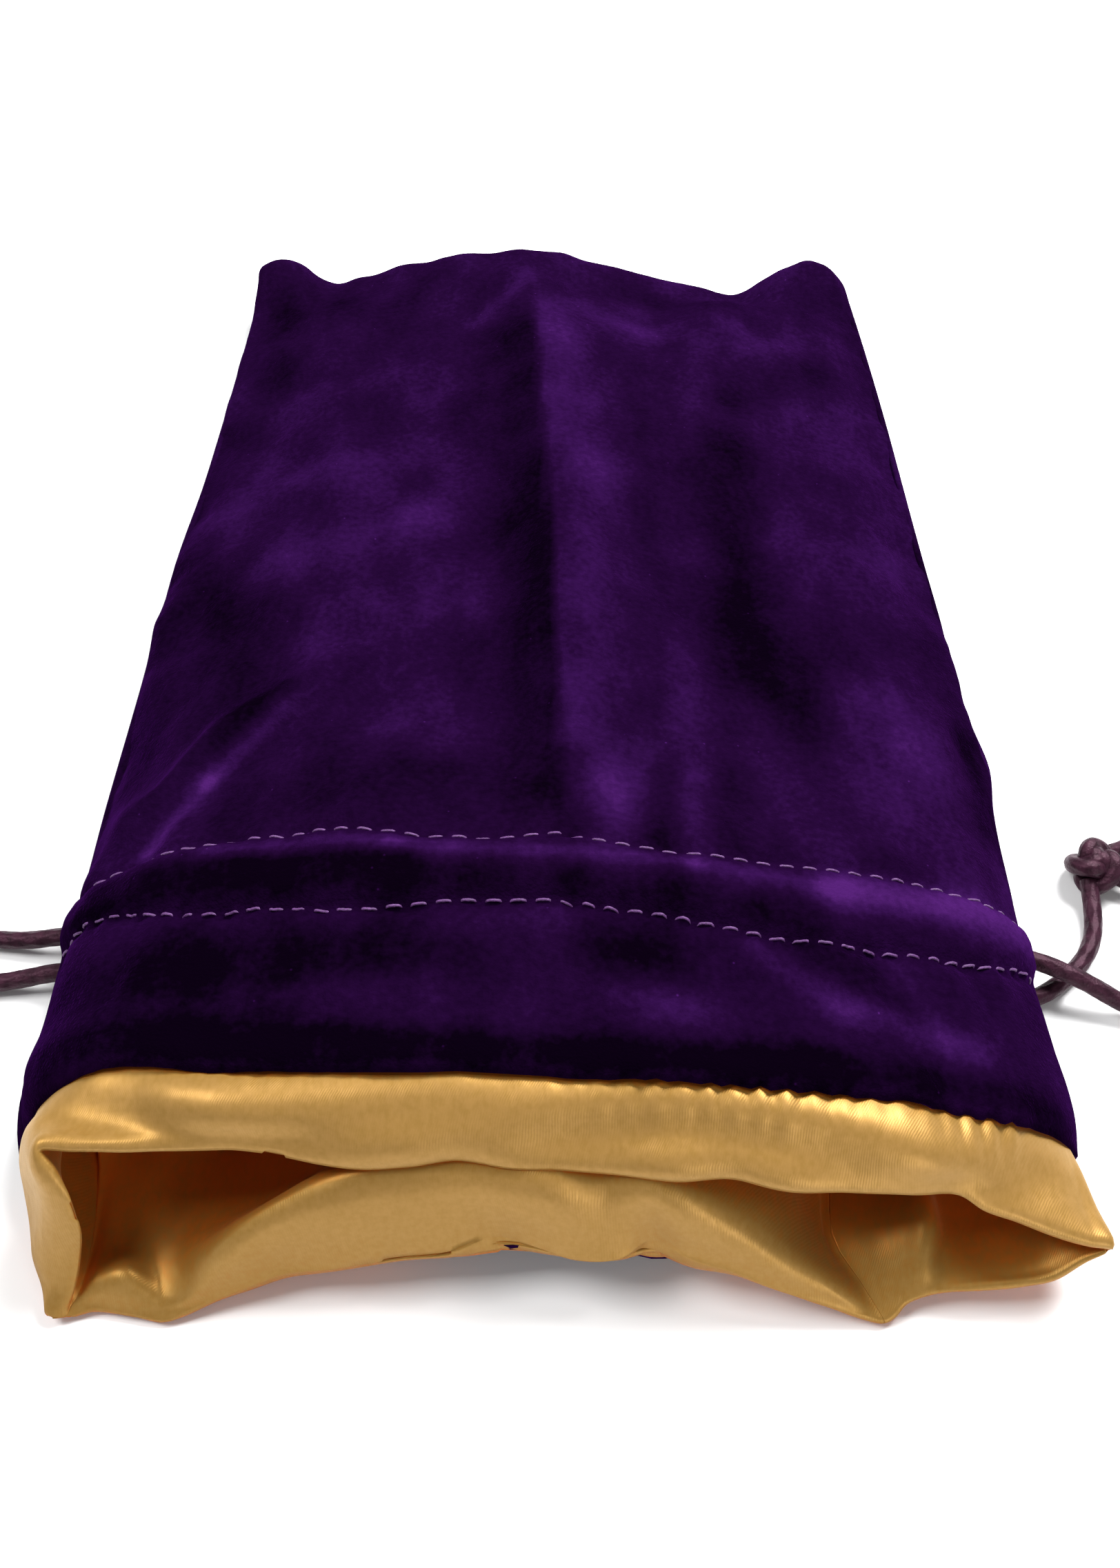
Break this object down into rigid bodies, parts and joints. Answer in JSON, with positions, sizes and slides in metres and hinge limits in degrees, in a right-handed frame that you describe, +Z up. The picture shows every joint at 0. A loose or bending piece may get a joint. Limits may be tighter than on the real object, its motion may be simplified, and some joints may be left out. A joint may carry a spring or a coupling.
{
  "type": "drawstring dice bag",
  "caption": "Lined velvet drawstring pouch lying flat, its mouth a little open, with a satin cuff, a stitched cord channel and a knotted pull cord on each side.",
  "frame": {"origin": "on the table under the middle of the lying bag, without its free cords", "axes": "+X to the right seen from the mouth, +Y from the mouth to the sewn bottom, +Z up from the table"},
  "size_m": [0.2001, 0.21, 0.0294],
  "materials": {
    "velvet": "dark purple short-pile velvet",
    "satin": "gold satin, semi-gloss",
    "cord": "plum-brown braided satin cord, semi-gloss",
    "stitch_thread": "light purple sewing thread, satin",
    "seam_thread": "dark purple sewing thread, matt"
  },
  "bodies": {
    "bag": {"velvet_front_panel": "velvet", "velvet_back_panel": "velvet", "lining_front_panel": "satin", "lining_back_panel": "satin", "satin_cuff_back": "satin", "satin_cuff_corners": "satin", "side_seam_left": "seam_thread", "side_seam_right": "seam_thread", "bottom_seam": "seam_thread", "lining_side_seams": "seam_thread", "mouth_seam_back": "seam_thread", "channel_stitches_front": "stitch_thread", "channel_stitches_back": "stitch_thread", "cord_left_in_channel": "cord", "cord_right_in_channel": "cord"},
    "front_lip": {"velvet_front_lip": "velvet", "lining_front_lip": "satin", "satin_cuff_front": "satin", "mouth_seam_front": "seam_thread"},
    "right_cord": {"cord_right_long_end": "cord", "cord_right_short_end": "cord", "cord_right_tails": "cord", "knot_right": "cord"},
    "left_cord": {"cord_left_long_end": "cord", "cord_left_short_end": "cord", "cord_left_tails": "cord", "knot_left": "cord"}
  },
  "joints": [
    {"name": "mouth_lip", "type": "hinge", "parent": "bag", "child": "front_lip", "pos_m": [0, -0.068, 0.0265], "axis": [-1, 0, 0], "range_deg": [0, 35]},
    {"name": "right_cord_pull", "type": "slide", "parent": "bag", "child": "right_cord", "axis": [1, 0, 0], "range_m": [0, 0.025]},
    {"name": "left_cord_pull", "type": "slide", "parent": "bag", "child": "left_cord", "axis": [-1, 0, 0], "range_m": [0, 0.025]}
  ]
}
